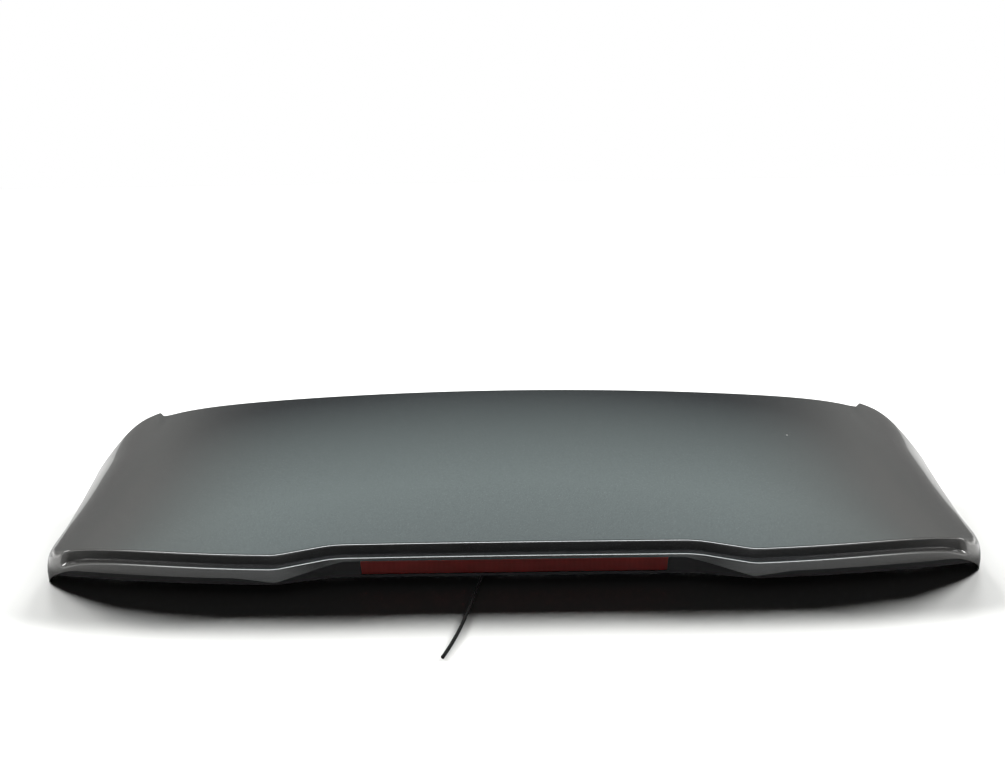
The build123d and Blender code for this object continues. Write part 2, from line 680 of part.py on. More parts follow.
# Lead: straight runs joined by arcs as large as the runs allow
route = [Vector(*point) for point in LEAD_ROUTE]
bends = []
for before, here, after in zip(route, route[1:], route[2:]):
    turn = radians((here - before).get_angle(after - here))
    shorter = min((here - before).length, (after - here).length)
    bends.append(BEND_SHARE * shorter / tan(turn / 2))
print("lead radii", [round(bend, 1) for bend in bends])
with BuildPart() as lamp_lead:
    with BuildLine() as lead_line:
        FilletPolyline(*route, radius=bends)
    with BuildSketch(Plane(origin=route[0], z_dir=route[1] - route[0])):
        RegularPolygon(LEAD_R, ROUND_SIDES)
    sweep()
lamp_lead.part.label = "lamp_lead"
export_step(lamp_lead.part, "parts/lamp_lead.step")
print("lead length", round(sum(run.length for run in lead_line.edges()), 1))
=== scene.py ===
"""Looks of the rear roof spoiler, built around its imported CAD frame.

The shell's lengths are in millimetres, as in the part's source, and put() turns them into metres.
"""
from math import atan, atan2, cos, hypot, pi, radians, sin, sqrt, tan

import bmesh
import bpy
from mathutils import Matrix, Vector


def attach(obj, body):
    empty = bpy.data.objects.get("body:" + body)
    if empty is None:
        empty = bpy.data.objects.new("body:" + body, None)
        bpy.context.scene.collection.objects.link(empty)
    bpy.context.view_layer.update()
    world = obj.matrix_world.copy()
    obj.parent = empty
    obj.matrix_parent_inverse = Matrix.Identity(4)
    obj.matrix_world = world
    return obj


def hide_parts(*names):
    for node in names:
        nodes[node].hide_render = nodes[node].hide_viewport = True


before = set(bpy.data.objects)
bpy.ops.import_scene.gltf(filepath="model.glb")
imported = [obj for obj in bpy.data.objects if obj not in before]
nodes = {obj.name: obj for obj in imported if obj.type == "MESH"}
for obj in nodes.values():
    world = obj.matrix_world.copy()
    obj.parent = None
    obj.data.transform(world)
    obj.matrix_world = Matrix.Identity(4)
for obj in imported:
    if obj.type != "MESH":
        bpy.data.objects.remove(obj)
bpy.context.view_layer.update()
scene = bpy.context.scene
MM = 0.001

# Deck and sides
LEAD_Y, LEAD_Z = 161.5, 141.0              # leading edge on the centre line
DECK_EDGE_Y, DECK_EDGE_Z = -147.5, 57.0    # rear edge of the deck on the centre line
DECK_BOW = 6.0
CREASE_HALF, CREASE_Z = 593.0, 45.0        # where the deck turns into the shoulder
SIDE_FLARE = 0.263
CROWN_SHARE = 0.344
ARCH_POWER = 11.3
SHOULDER_R = 22.0
SKIRT_ANGLE = radians(78)
WALL = 3.0

# Rear lip
RECESS_HALF, RECESS_R = 218.0, 150.0
KINK_X, KINK_R = 284.0, 70.0
RECESS_DEPTH = 13.8
TIP_X, TIP_SWEEP, LIP_SAG = 548.0, 25.5, 4.5
LIP_FOOT, LIP_LEAN = 12.0, 0.183
LEDGE_DROP, LEDGE_FALL = 14.5, 0.27
STEP_FADE_X, STEP_FADE_RUN = 535.0, 18.0
CORNER_TURN, CORNER_R, CORNER_RUN = radians(45), 38.0, 16.0
BAND_Z, BAND_DIP, DIP_RUN, DIP_R = 24.5, 5.5, 46.0, 12.0
BAND_TOP = 1.9
NOSE_Z, NOSE_HALF = 36.5, 205.0
TIP_CURVE_X, TIP_CURVE_LEAN = 530.0, 14.0
BLEND_X = 522.0                            # from here the lip's rows blend into the shoulder

# Round corner where the skin turns into the lip's end, and the swell on it
CORNER_SOFT, SOFT_X, SOFT_RUN = 10.0, 540.0, 16.0
SOFT_LEAST = 0.1
TIP_SWELL = 5.0
SWELL_X, SWELL_X_RUN = 545.0, 22.0
SWELL_Y, SWELL_Y_RUN = -50.0, 70.0
SWELL_HIGH, SWELL_START = 46.0, 0.25

# Front edge
EAR_X, EAR_Y = 546.0, 149.2
NOTCH_RUN, NOTCH_R = 11.0, 4.0
EAR_CORNER_X, EAR_CORNER_R, EAR_RAKE = 587.0, 35.0, radians(59)
FRONT_Y = LEAD_Y - LIP_LEAN * LEAD_Z
FLANGE_DEEP, FLANGE_SIDE = 14.0, 5.4
EAR_LIFT = 2.4
LIFT_X, LIFT_X_RUN = 522.0, 26.0
LIFT_Y, LIFT_Y_RUN = 80.0, 75.0

# Rounded edges, and the angle from which an edge stays crisp
DECK_EDGE_R, LEDGE_EDGE_R, FRONT_EDGE_R = 2.2, 1.2, 1.5
EDGE_SEGMENTS = 3
CRISP_ANGLE = radians(40)

# Searches and slopes by small steps
SEARCH_Y = 260.0
HALVINGS = 44
X_PROBE = 0.1
WAY_PROBE = 0.004

# Lead of the stop lamp, in metres
LEAD_ROUTE = [
    (-0.0330, -0.0850, 0.0270),
    (-0.0330, -0.0850, 0.0110),
    (-0.0332, -0.0915, 0.0036),
    (-0.0348, -0.1030, 0.0021),
    (-0.0436, -0.1520, 0.0021),
    (-0.0544, -0.2060, 0.0021),
    (-0.0666, -0.2570, 0.0021),
    (-0.0782, -0.2860, 0.0021),
]
LEAD_RADIUS = 0.002

# White scuff in the deck's paint, in metres
SCUFF_SPOT = (0.392, 0.0515, 0.106)

# Camera, with its sensor in millimetres, and stage; places are in metres
SENSOR_WIDTH = 36.0
FOCAL_PIXELS, PICTURE_PIXELS = 770, 1005
CAMERA_SPOT = (-0.0112, -0.9575, 0.536)
CAMERA_PITCH, CAMERA_ROLL = radians(71), -0.014
FLOOR_HALF, FLOOR_DROP = 6.0, 0.0003
LIGHT_BANK = (                             # azimuth and elevation in degrees, energy
    (-54, 19.7, 6.3),
    (-27, 25.7, 2.3),
    (0, 26, 2.2),
    (27, 25.7, 2.3),
    (54, 19.7, 6.3),
)
LIGHT_ANGLE = radians(17)


class Value:
    """A shader socket that takes part in arithmetic through Math nodes."""

    def __init__(self, finish, socket):
        self.finish = finish
        self.socket = socket

    def maths(self, operation, left, right):
        return self.finish.node("ShaderNodeMath", {"operation": operation}, {0: left, 1: right})

    def __add__(self, other):
        return self.maths("ADD", self, other)

    def __sub__(self, other):
        return self.maths("SUBTRACT", self, other)

    def __rsub__(self, other):
        return self.maths("SUBTRACT", other, self)

    def __mul__(self, other):
        return self.maths("MULTIPLY", self, other)

    def __truediv__(self, other):
        return self.maths("DIVIDE", self, other)

    def __gt__(self, other):
        return self.maths("GREATER_THAN", self, other)

    __radd__ = __add__


class Finish:
    """A material or the world, with one method for every node that isn't plain arithmetic."""

    def __init__(self, owner, coordinate="Object"):
        owner.use_nodes = True
        self.owner = owner
        self.tree = owner.node_tree
        self.tree.nodes.clear()
        self.place = self.node("ShaderNodeTexCoord", {}, {}, coordinate)

    def node(self, kind, settings, sockets, out=0):
        made = self.tree.nodes.new(kind)
        for name, setting in settings.items():
            if name == "stops":
                ramp = made.color_ramp
                while len(ramp.elements) < len(setting):
                    ramp.elements.new(1.0)
                for element, (position, colour) in zip(ramp.elements, setting):
                    element.position = position
                    element.color = colour
            else:
                setattr(made, name, setting)
        for name, value in sockets.items():
            if isinstance(value, Value):
                self.tree.links.new(value.socket, made.inputs[name])
            else:
                made.inputs[name].default_value = value
        return Value(self, made.outputs[out]) if made.outputs else None

    def noise(self, scale, detail=2.0, roughness=0.5):
        sockets = {"Vector": self.place, "Scale": scale, "Detail": detail, "Roughness": roughness}
        return self.node("ShaderNodeTexNoise", {}, sockets)

    def mix(self, share, first, second):
        sockets = {0: share, 6: first, 7: second}
        return self.node("ShaderNodeMix", {"data_type": "RGBA"}, sockets, 2)

    def ramp(self, value, stops):
        """Colours between stops of a position and a colour."""
        return self.node("ShaderNodeValToRGB", {"stops": stops}, {0: value})

    def span(self, value, low, high):
        """A value's place between two limits, from 0 to 1 with soft ends."""
        sockets = {"Value": value, "From Min": low, "From Max": high}
        return self.node("ShaderNodeMapRange", {"interpolation_type": "SMOOTHSTEP"}, sockets)

    def axis(self, name):
        return self.node("ShaderNodeSeparateXYZ", {}, {0: self.place}, name)

    def unsigned(self, value):
        """A value without its sign."""
        return self.node("ShaderNodeMath", {"operation": "ABSOLUTE"}, {0: value})

    def bump(self, height, strength, distance):
        sockets = {"Height": height, "Strength": strength, "Distance": distance}
        return self.node("ShaderNodeBump", {}, sockets)

    def surface(self, **sockets):
        """Finishes the material with a Principled shader; names use _ for a space."""
        named = {name.replace("_", " "): value for name, value in sockets.items()}
        shader = self.node("ShaderNodeBsdfPrincipled", {}, named)
        self.node("ShaderNodeOutputMaterial", {}, {"Surface": shader})
        return self.owner


def material_finish(name):
    return Finish(bpy.data.materials.new(name))


def soft_step(value):
    value = min(max(value, 0.0), 1.0)
    return value * value * (3 - 2 * value)


def centre_height(y):
    """Height of the deck on the car's centre line."""
    s = (y - DECK_EDGE_Y) / (LEAD_Y - DECK_EDGE_Y)
    return DECK_EDGE_Z + (LEAD_Z - DECK_EDGE_Z) * s + 4 * DECK_BOW * s * (1 - s)


def deck_slope(t, rise, half):
    """Angle of the deck's fall to the side, at a share t of its half width."""
    crown = 2 * CROWN_SHARE * t
    arch = (1 - CROWN_SHARE) * ARCH_POWER * t ** (ARCH_POWER - 1)
    return atan(rise / half * (crown + arch))


def skin_point(way, y):
    """X and Z of the skin.

    The way across it runs to 1 over the deck, to 2 round the shoulder and to 3 down the skirt.
    """
    half = CREASE_HALF + SIDE_FLARE * y
    top = centre_height(y)
    rise = top - CREASE_Z
    if way <= 1:
        fall = CROWN_SHARE * way**2 + (1 - CROWN_SHARE) * way**ARCH_POWER
        return way * half, top - rise * fall
    slope = deck_slope(1.0, rise, half)
    turn = slope + (SKIRT_ANGLE - slope) * min(way - 1, 1.0)
    x = half + SHOULDER_R * (sin(turn) - sin(slope))
    z = CREASE_Z + SHOULDER_R * (cos(turn) - cos(slope))
    down = max(way - 2, 0.0)
    return x + down * z / tan(SKIRT_ANGLE), z * (1 - down)


def corner(x, at, slope_in, slope_out, radius):
    """What a change of slope adds past a corner that is rounded to an arc."""
    a, b = atan(slope_in), atan(slope_out)
    side = 1 if b > a else -1
    tangent = radius * tan(abs(b - a) / 2)
    reach = x - at
    if reach <= -tangent * cos(a):
        return 0.0
    if reach >= tangent * cos(b):
        return (slope_out - slope_in) * reach
    centre_x = -tangent * cos(a) - side * radius * sin(a)
    centre_y = -tangent * sin(a) + side * radius * cos(a)
    return centre_y - side * sqrt(radius**2 - (reach - centre_x) ** 2) - slope_in * reach


RECESS_SLOPE = -RECESS_DEPTH / (KINK_X - RECESS_HALF)
LIP_RUN = TIP_X - KINK_X
KINK_SLOPE = (TIP_SWEEP - 4 * LIP_SAG) / LIP_RUN
TIP_SLOPE = (TIP_SWEEP + 4 * LIP_SAG) / LIP_RUN


def deck_edge(x):
    """Y of the deck's rear edge."""
    x = abs(x)
    bow = 0.0
    if x > KINK_X:
        q = (x - KINK_X) / LIP_RUN
        bow = 4 * LIP_SAG * (q * q if q < 1 else 2 * q - 1)
    y = DECK_EDGE_Y + corner(x, RECESS_HALF, 0.0, RECESS_SLOPE, RECESS_R)
    return y + corner(x, KINK_X, RECESS_SLOPE, KINK_SLOPE, KINK_R) + bow


def lip_foot(x):
    """Y of the lip's outer face, carried down to the floor."""
    x = abs(x)
    heading = atan(TIP_SLOPE)
    start = TIP_X + (CORNER_RUN - CORNER_R * tan(CORNER_TURN / 2)) * cos(heading)
    if x <= start:
        return deck_edge(x) - LIP_FOOT
    y = deck_edge(start) - LIP_FOOT
    s = sin(heading) + (x - start) / CORNER_R
    last = heading + CORNER_TURN
    if s < sin(last):
        return y + CORNER_R * (cos(heading) - sqrt(1 - s * s))
    run = x - start - CORNER_R * (sin(last) - sin(heading))
    return y + CORNER_R * (cos(heading) - cos(last)) + run * tan(last)


def lip_face(x, z):
    """Y of the lip's outer face at a height."""
    return lip_foot(x) + LIP_LEAN * z


def lip_low(x):
    """Z of the painted lip's lower edge."""
    x = abs(x)
    if x >= TIP_CURVE_X:
        s = 2 - sqrt(max(4 - (x - TIP_CURVE_X) / TIP_CURVE_LEAN, 1.0))
        return BAND_Z * (1 - s * s)
    fall = (BAND_Z - BAND_DIP - NOSE_Z) / (KINK_X - NOSE_HALF)
    climb = BAND_DIP / DIP_RUN
    z = NOSE_Z + corner(x, NOSE_HALF, 0.0, fall, DIP_R)
    z += corner(x, KINK_X, fall, climb, DIP_R)
    return z + corner(x, KINK_X + DIP_RUN, climb, 0.0, DIP_R)


def front_foot(x):
    """Y of the front edge, carried down to the floor."""
    x = abs(x)
    ramp = (EAR_Y - FRONT_Y) / NOTCH_RUN
    y = FRONT_Y + corner(x, EAR_X - NOTCH_RUN, 0.0, ramp, NOTCH_R)
    y += corner(x, EAR_X, ramp, 0.0, NOTCH_R)
    return y + corner(x, EAR_CORNER_X, 0.0, -tan(EAR_RAKE), EAR_CORNER_R)


def step_share(x):
    """How much of the step's depth is left near its ends."""
    return 1 - soft_step((abs(x) - STEP_FADE_X) / STEP_FADE_RUN)


def rear_line(x, z):
    """Y where the deck ends at the rear."""
    outer = lip_face(x, z)
    return outer + max(deck_edge(x) - outer, 0.0) * step_share(x)


def front_line(x, z):
    """Y where the deck ends at the front."""
    return front_foot(x) + LIP_LEAN * z


def meet(way, line):
    """Y where the skin at one place of its section comes to an edge."""
    low, high = -SEARCH_Y, SEARCH_Y
    for _ in range(HALVINGS):
        y = (low + high) / 2
        if y < line(*skin_point(way, y)):
            low = y
        else:
            high = y
    return (low + high) / 2


def ear_lift(x, y):
    """How far each ear stands proud of the deck, fading to the rear."""
    outward = soft_step((abs(x) - LIFT_X) / LIFT_X_RUN)
    return EAR_LIFT * outward * soft_step((y - LIFT_Y) / LIFT_Y_RUN)


def fade_way():
    """Place of the section where the step in the lip runs out."""
    low, high = 0.9, 2.0
    for _ in range(HALVINGS):
        way = (low + high) / 2
        x, z = skin_point(way, meet(way, rear_line))
        if deck_edge(x) > lip_face(x, z):
            low = way
        else:
            high = way
    return low


def spread(low, high, count):
    """Even steps from one value up to another, which is left out."""
    return [low + (high - low) * i / count for i in range(count)]


# Places across the deck in millimetres, closest where the rear edge or the front edge bends
EDGE_STOPS = spread(0, 190, 12) + spread(190, 310, 30) + spread(310, 455, 12)
EDGE_STOPS += spread(455, 488, 22) + spread(488, 545, 8)

# The same as ways across the skin, then on round the shoulder and down the skirt
FADE_WAY = fade_way()
WAY_GAP = 0.003
half_ways = [x / (CREASE_HALF + SIDE_FLARE * deck_edge(x)) for x in EDGE_STOPS]
half_ways += spread(half_ways[-1] + WAY_GAP, 1.0, 14) + spread(1.0, FADE_WAY, 7) + [FADE_WAY]
SHOULDER_STOPS = (0.4, 0.75, 1.0)
SKIRT_WAYS = [2.06, 2.17, 2.25, 2.6, 3.0]
BELOW_FADE = [FADE_WAY + (2 - FADE_WAY) * stop for stop in SHOULDER_STOPS] + SKIRT_WAYS
deck_ways = [-way for way in reversed(half_ways[1:])] + half_ways
ways = [-way for way in reversed(BELOW_FADE)] + deck_ways + BELOW_FADE

# Rows from the rear edge to the front edge, and rows down the lip's step face and ledge
ROW_STOPS = [0.0, 0.0085, 0.018, 0.032, 0.055, 0.085]
ROW_STOPS += spread(0.12, 0.92, 24)
ROW_STOPS += [0.92, 0.945, 0.965, 0.98, 0.992, 1.0]
FACE_STOPS = (0.0, 0.18, 0.92, 1.0)
LEDGE_STOPS = (0.22, 0.68, 1.0)
FACE_ROWS = len(FACE_STOPS) - 1
BAND_ROW = FACE_ROWS + len(LEDGE_STOPS)


def skin_gap(x, y, z):
    """Distance outside the skin, and the skin's outward direction in X and Z."""
    half = CREASE_HALF + SIDE_FLARE * y
    rise = centre_height(y) - CREASE_Z
    slope = deck_slope(1.0, rise, half)
    out_x = x - half + SHOULDER_R * sin(slope)
    out_z = z - CREASE_Z + SHOULDER_R * cos(slope)
    turn = atan2(out_x, out_z)
    if turn > SKIRT_ANGLE:
        away = out_x * sin(SKIRT_ANGLE) + out_z * cos(SKIRT_ANGLE) - SHOULDER_R
        return away, (sin(SKIRT_ANGLE), cos(SKIRT_ANGLE))
    if turn > slope:
        return hypot(out_x, out_z) - SHOULDER_R, (sin(turn), cos(turn))
    t = x / half
    slope = deck_slope(t, rise, half)
    return (z - skin_point(t, y)[1]) * cos(slope), (sin(slope), cos(slope))


def softened(x, y, z):
    """Moves a point so that the skin's turn into the lip's end is round, with a slight swell."""
    side, x = (-1 if x < 0 else 1), abs(x)
    radius = CORNER_SOFT * soft_step((x - SOFT_X) / SOFT_RUN)
    if radius < SOFT_LEAST or y > 0:
        return side * x, y, z
    heading = (lip_foot(x + X_PROBE) - lip_foot(x - X_PROBE)) / (2 * X_PROBE)
    steep = sqrt(1 + heading**2 + LIP_LEAN**2)
    skin_away, (skin_x, skin_z) = skin_gap(x, y, z)
    lip_away = (lip_face(x, z) - y) / steep
    near = max(radius - abs(skin_away - lip_away), 0.0)
    inward = max(max(skin_away, lip_away) + near**2 / (4 * radius), 0.0)
    share = min(max(0.5 + (skin_away - lip_away) / (2 * radius), 0.0), 1.0)
    skin_out = Vector((skin_x, 0, skin_z))
    lip_out = Vector((heading, -1, LIP_LEAN)) / steep
    out = skin_out * share + lip_out * (1 - share)
    spot = Vector((x, y, z)) - out.normalized() * inward
    swell = TIP_SWELL * soft_step((spot.x - SWELL_X) / SWELL_X_RUN)
    swell *= soft_step((SWELL_Y - spot.y) / SWELL_Y_RUN)
    swell *= sin(pi * min(SWELL_START + (1 - SWELL_START) * spot.z / SWELL_HIGH, 1.0))
    return side * (spot.x + swell), spot.y, max(spot.z, 0.0)


def side_of(way):
    return -1 if way < 0 else 1


def lip_points(way):
    """The points down the lip below one place of the deck's edge, from the second row on."""
    place = abs(way)
    y_top = meet(place, rear_line)
    x_top, z_top = skin_point(place, y_top)
    x_end = skin_point(FADE_WAY, meet(FADE_WAY, rear_line))[0]
    share = max((x_top - BLEND_X) / (x_end - BLEND_X), 0.0) ** 2
    z_edge = z_top - LEDGE_DROP
    z_band = z_edge - (deck_edge(x_top) - lip_face(x_top, z_edge)) * LEDGE_FALL
    points = []
    for row, end_way in enumerate(BELOW_FADE, 1):
        x_last, z_last = skin_point(end_way, meet(end_way, rear_line))
        x = x_top + share * (x_last - x_end)
        out = 1.0
        if row <= FACE_ROWS:
            out = 0.0
            z = z_top - LEDGE_DROP * FACE_STOPS[row]
        elif row <= BAND_ROW:
            out = LEDGE_STOPS[row - FACE_ROWS - 1]
            z = z_edge + (z_band - z_edge) * out
        else:
            z = z_band - BAND_TOP
        if row == len(BELOW_FADE):
            z = min(lip_low(x), z)
        else:
            z = (1 - share) * z + share * z_last
        y = rear_line(x, z) * (1 - out) + lip_face(x, z) * out
        points.append((side_of(way) * x, y, z))
    return points


def new_piece(name, bm):
    """Puts a finished bmesh into the scene as a piece that rides on the spoiler."""
    mesh = bpy.data.meshes.new(name)
    bm.to_mesh(mesh)
    bm.free()
    piece = bpy.data.objects.new(name, mesh)
    scene.collection.objects.link(piece)
    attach(piece, "root")
    return piece


def put(vert, x, y, z):
    """Sets a vertex at a place given in millimetres."""
    vert.co = (x * MM, y * MM, z * MM)


def row_edges(bm, row):
    return [bm.edges.get(pair) for pair in zip(row, row[1:])]


def extruded_row(bm, edges):
    """Extrudes a row of edges; returns the new vertices from left to right, and their edges."""
    made = bmesh.ops.extrude_edge_only(bm, edges=edges)["geom"]
    verts = sorted((g for g in made if isinstance(g, bmesh.types.BMVert)), key=lambda v: v.co.x)
    fresh = set(verts)
    row = [g for g in made if isinstance(g, bmesh.types.BMEdge) and fresh.issuperset(g.verts)]
    return verts, row


def lay_skin(bm):
    """Lays a grid on the skin; returns its columns, and the Y where each ends in front."""
    columns, rows = len(ways), len(ROW_STOPS)
    bmesh.ops.create_grid(bm, x_segments=columns - 1, y_segments=rows - 1, size=1.0)
    grid = [[None] * rows for _ in ways]
    for vert in bm.verts:
        i = round((vert.co.x + 1) / 2 * (columns - 1))
        j = round((vert.co.y + 1) / 2 * (rows - 1))
        grid[i][j] = vert
    fronts = []
    for way, column in zip(ways, grid):
        place = abs(way)
        rear, front = meet(place, rear_line), meet(place, front_line)
        for stop, vert in zip(ROW_STOPS, column):
            y = rear + (front - rear) * stop
            x, z = skin_point(place, y)
            put(vert, side_of(way) * x, y, z + ear_lift(x, y))
        fronts.append(front)
    return grid, fronts


def add_flange(bm, front_edges, fronts):
    """Turns the front edge in, square to the skin."""
    flange, _ = extruded_row(bm, front_edges)
    for vert, way, front in zip(flange, ways, fronts):
        place = abs(way)
        x, z = skin_point(place, front)
        outer = skin_point(place + WAY_PROBE, front)
        inner = skin_point(max(place - WAY_PROBE, 0.0), front)
        run, fall = outer[0] - inner[0], inner[1] - outer[1]
        long = sqrt(run**2 + fall**2)
        depth = FLANGE_DEEP * run / long + FLANGE_SIDE * fall / long
        x, z = x - depth * fall / long, z - depth * run / long
        put(vert, side_of(way) * x, front_line(x, z), z + ear_lift(x, front))


def add_lip(bm, grid, rear_edges):
    """Extrudes the lip row by row and joins its ends to the skirts; returns the rows' edges."""
    wing = len(BELOW_FADE)
    profiles = [lip_points(way) for way in deck_ways]
    edges, rows, joined = rear_edges, [], {}
    for row in range(wing):
        verts, edges = extruded_row(bm, edges)
        for vert, points in zip(verts, profiles):
            put(vert, *points[row])
        joined[verts[0]] = grid[wing - 1 - row][0]
        joined[verts[-1]] = grid[len(grid) - wing + row][0]
        rows.append(edges)
    bmesh.ops.weld_verts(bm, targetmap=joined)
    return rows


def build_shell():
    """Painted shell: a grid laid on the skin, its lip and flange extruded from the edges."""
    bm = bmesh.new()
    grid, fronts = lay_skin(bm)
    wing = len(BELOW_FADE)
    rear_edges = row_edges(bm, [column[0] for column in grid[wing:-wing]])
    front_edges = row_edges(bm, [column[-1] for column in grid])
    add_flange(bm, front_edges, fronts)
    ledge_edges = add_lip(bm, grid, rear_edges)[BAND_ROW - 1]
    bmesh.ops.recalc_face_normals(bm, faces=bm.faces)
    for edges, width in (
        (rear_edges, DECK_EDGE_R), (ledge_edges, LEDGE_EDGE_R), (front_edges, FRONT_EDGE_R),
    ):
        bmesh.ops.bevel(
            bm, geom=[edge for edge in edges if edge.is_valid], offset=width * MM,
            offset_type="OFFSET", segments=EDGE_SEGMENTS, profile=0.5, affect="EDGES",
            clamp_overlap=True, material=-1,
        )
    for vert in bm.verts:
        put(vert, *softened(*(vert.co / MM)))
    return walled(new_piece("painted_shell", bm))


def walled(piece):
    """Gives a sheet its wall, and keeps the wall's rims crisp."""
    wall = piece.modifiers.new("wall", "SOLIDIFY")
    wall.thickness = WALL * MM
    wall.offset = -1.0
    bpy.context.view_layer.update()
    depsgraph = bpy.context.evaluated_depsgraph_get()
    solid = bpy.data.meshes.new_from_object(piece.evaluated_get(depsgraph))
    piece.modifiers.clear()
    bm = bmesh.new()
    bm.from_mesh(solid)
    for vert in bm.verts:
        vert.co.z = max(vert.co.z, 0.0)
    for face in bm.faces:
        face.smooth = True
    for edge in bm.edges:
        edge.smooth = len(edge.link_faces) == 2 and edge.calc_face_angle() < CRISP_ANGLE
    bm.to_mesh(piece.data)
    bm.free()
    return piece


def paint_finish():
    """Grey metallic paint under a clear coat, with a painted warm reflection to the sides, dust and
    a scuff.
    """
    paint = material_finish("grey_metallic_paint")
    cells = {"Vector": paint.place, "Scale": 1300.0}
    flake = paint.node("ShaderNodeTexVoronoi", {}, cells, "Color")
    glint = paint.node("ShaderNodeSeparateColor", {}, {0: flake}, "Red")
    cloud = paint.noise(9.0, 3.0)
    # Painted reflection: the paint's colour turns warmer towards the sides.
    side = paint.span(paint.unsigned(paint.axis("X")), 0.25, 0.62)
    cool = paint.mix(glint, (0.054, 0.058, 0.06, 1), (0.082, 0.087, 0.089, 1))
    painted_warm_reflection = paint.mix(glint, (0.058, 0.057, 0.055, 1), (0.086, 0.084, 0.081, 1))
    colour = paint.mix(side, cool, painted_warm_reflection)
    dust = paint.span(paint.noise(420.0, 4.0, 0.7), 0.66, 0.8) * 0.25
    colour = paint.mix(dust, colour, (0.16, 0.16, 0.155, 1))
    ends = {0: paint.place, 1: SCUFF_SPOT}
    away = paint.node("ShaderNodeVectorMath", {"operation": "DISTANCE"}, ends, "Value")
    scuff = paint.span(away + (paint.noise(900.0) - 0.5) * 0.0016, 0.0018, 0.0006)
    colour = paint.mix(scuff, colour, (0.3, 0.3, 0.29, 1))
    rough = 0.2 + (cloud - 0.5) * 0.05 + glint * 0.05 + scuff * 0.5
    return paint.surface(
        Base_Color=colour, Metallic=0.85 - scuff * 0.8, Roughness=rough,
        Coat_Weight=1 - scuff, Coat_Roughness=0.03, Coat_IOR=1.5,
        Normal=paint.bump(glint, 0.02, 0.0002),
    )


def plastic_finish(name, dark, light, grain, rough):
    """Moulded plastic, rubber or foam with a fine grain."""
    plastic = material_finish(name)
    fine = plastic.noise(grain, 3.0, 0.6)
    cloud = plastic.noise(14.0, 3.0)
    colour = plastic.mix(plastic.span(fine * 0.6 + cloud * 0.4, 0.35, 0.7), dark, light)
    return plastic.surface(
        Base_Color=colour, Roughness=rough + (fine - 0.5) * 0.16, Specular_IOR_Level=0.15,
        Normal=plastic.bump(fine, 0.25, 0.0003),
    )


def metal_finish(name, colour, pale, rough):
    """Plated metal with a bloom and fine streaks."""
    metal = material_finish(name)
    streak = metal.noise(600.0, 3.0)
    bloom = metal.noise(60.0, 3.0)
    return metal.surface(
        Base_Color=metal.mix(bloom, colour, pale), Metallic=1.0,
        Roughness=rough + (streak - 0.5) * 0.2, Normal=metal.bump(streak, 0.08, 0.0001),
    )


def lens_finish():
    """Red lens with faint upright flutes."""
    lens = material_finish("red_lamp_lens")
    cloud = lens.noise(30.0, 3.0)
    waves = {"Vector": lens.place, "Scale": 52.0}
    flute = lens.node("ShaderNodeTexWave", {"bands_direction": "X"}, waves, "Fac")
    tone = cloud * 0.9 + flute * 0.1
    return lens.surface(
        Base_Color=lens.mix(tone, (0.54, 0.032, 0.026, 1), (0.84, 0.06, 0.048, 1)),
        Roughness=0.06 + cloud * 0.05, IOR=1.49, Transmission_Weight=0.3,
        Specular_IOR_Level=0.24, Normal=lens.bump(flute, 0.05, 0.0003),
    )


def plain_finish(name, colour, rough, metallic=0.0):
    """One colour, slightly clouded, for pieces inside the lamp."""
    plain = material_finish(name)
    cloud = plain.noise(200.0, 3.0)
    dark = tuple(0.8 * part for part in colour[:3]) + (1,)
    return plain.surface(
        Base_Color=plain.mix(cloud, dark, colour), Roughness=rough + (cloud - 0.5) * 0.1,
        Metallic=metallic,
    )


def floor_finish():
    """Pale for the camera. For what the spoiler mirrors and for bounce light, a darker floor of
    painted shade, with a painted shadow close in front of the lip, painted light away from it off
    the centre line, and more painted light to the sides and beside the tips. Clear from below.
    """
    table = material_finish("pale_table")
    pale = table.mix(table.noise(3.0), (0.72, 0.725, 0.71, 1), (0.76, 0.765, 0.75, 1))
    sideways = table.unsigned(table.axis("X"))
    # Painted shadow: the mirrored floor is darker close in front of the lip; painted light away
    # from it, off the centre line.
    painted_shadow_near_lip = table.span(table.axis("Y"), -0.265, -0.235)
    painted_light_off_lip = (1 - painted_shadow_near_lip) * table.span(sideways, 0.2, 0.27)
    painted_shade_and_light = table.mix(painted_light_off_lip, (0.11, 0.11, 0.108, 1), (0.28, 0.28, 0.275, 1))
    # Painted light: the mirrored floor is brighter to the sides and brightest beside the tips.
    painted_shade_and_light = table.mix(table.span(sideways, 0.52, 0.75), painted_shade_and_light, (0.4, 0.4, 0.395, 1))
    painted_light_beside_tips = table.span(sideways, 0.62, 0.7) * (1 - table.span(table.axis("Y"), -0.08, -0.02))
    painted_shade_and_light = table.mix(painted_light_beside_tips, painted_shade_and_light, (0.9, 0.9, 0.89, 1))
    # The camera sees the pale floor; every other ray sees the painted shade and light.
    direct = table.node("ShaderNodeLightPath", {}, {}, "Is Camera Ray")
    top = table.node("ShaderNodeBsdfPrincipled", {}, {
        "Base Color": table.mix(direct, painted_shade_and_light, pale), "Roughness": 0.6, "Specular IOR Level": 0.0,
    })
    under = table.node("ShaderNodeNewGeometry", {}, {}, "Backfacing")
    clear = table.node("ShaderNodeBsdfTransparent", {}, {})
    table.node("ShaderNodeOutputMaterial", {}, {
        "Surface": table.node("ShaderNodeMixShader", {}, {0: under, 1: top, 2: clear}),
    })
    return table.owner


